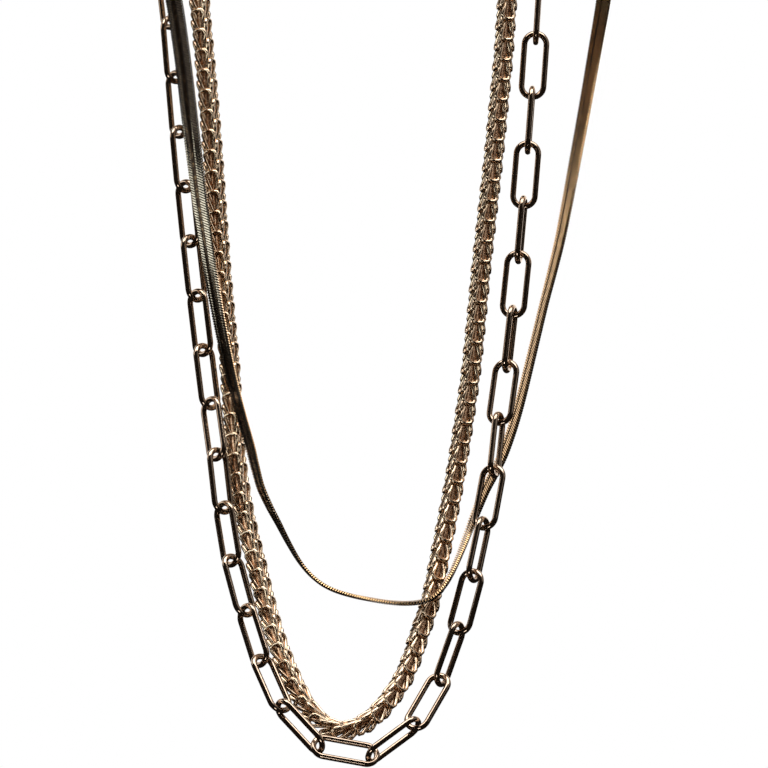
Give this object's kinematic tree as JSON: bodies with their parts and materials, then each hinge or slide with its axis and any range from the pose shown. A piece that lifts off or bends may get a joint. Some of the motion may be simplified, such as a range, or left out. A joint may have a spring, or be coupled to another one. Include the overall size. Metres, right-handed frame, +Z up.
{
  "type": "multi strand necklace",
  "caption": "Layered necklace of three antique gold strands on one clasp: a paperclip chain, a thick wheat chain and a flat woven band, in its worn form.",
  "frame": {"origin": "middle of the nape, where the clasp's inner side rests against the neck", "axes": "+Z up, +X to the right of a viewer who faces the wearer, -Y forward from the nape to the chest"},
  "size_m": [0.1321, 0.1471, 0.2403],
  "materials": {
    "paperclip_gold": "polished antique rose gold plate on round wire, dark in the reflections, with a satin grain",
    "wheat_gold": "bright yellowish antique gold plate, with near-black hollows between the small loops",
    "band_gold": "satin grey-brown antique gold plate on fine slanted wires, with a beaded edge",
    "clasp_gold": "polished antique gold plate"
  },
  "bodies": {
    "root": {"paperclip_link_01": "paperclip_gold", "paperclip_link_02": "paperclip_gold", "paperclip_link_03": "paperclip_gold", "paperclip_link_04": "paperclip_gold", "paperclip_link_05": "paperclip_gold", "paperclip_link_06": "paperclip_gold", "paperclip_link_07": "paperclip_gold", "paperclip_link_08": "paperclip_gold", "paperclip_link_09": "paperclip_gold", "paperclip_link_10": "paperclip_gold", "paperclip_link_11": "paperclip_gold", "paperclip_link_12": "paperclip_gold", "paperclip_link_13": "paperclip_gold", "paperclip_link_14": "paperclip_gold", "paperclip_link_15": "paperclip_gold", "paperclip_link_16": "paperclip_gold", "paperclip_link_17": "paperclip_gold", "paperclip_link_18": "paperclip_gold", "paperclip_link_19": "paperclip_gold", "paperclip_link_20": "paperclip_gold", "paperclip_link_21": "paperclip_gold", "paperclip_link_22": "paperclip_gold", "paperclip_link_23": "paperclip_gold", "paperclip_link_24": "paperclip_gold", "paperclip_link_25": "paperclip_gold", "paperclip_link_26": "paperclip_gold", "paperclip_link_27": "paperclip_gold", "paperclip_link_28": "paperclip_gold", "paperclip_link_29": "paperclip_gold", "paperclip_link_30": "paperclip_gold", "paperclip_link_31": "paperclip_gold", "paperclip_links_left": "paperclip_gold", "paperclip_links_right": "paperclip_gold", "wheat_chain": "wheat_gold", "flat_band": "band_gold", "clasp": "clasp_gold"}
  },
  "joints": []
}
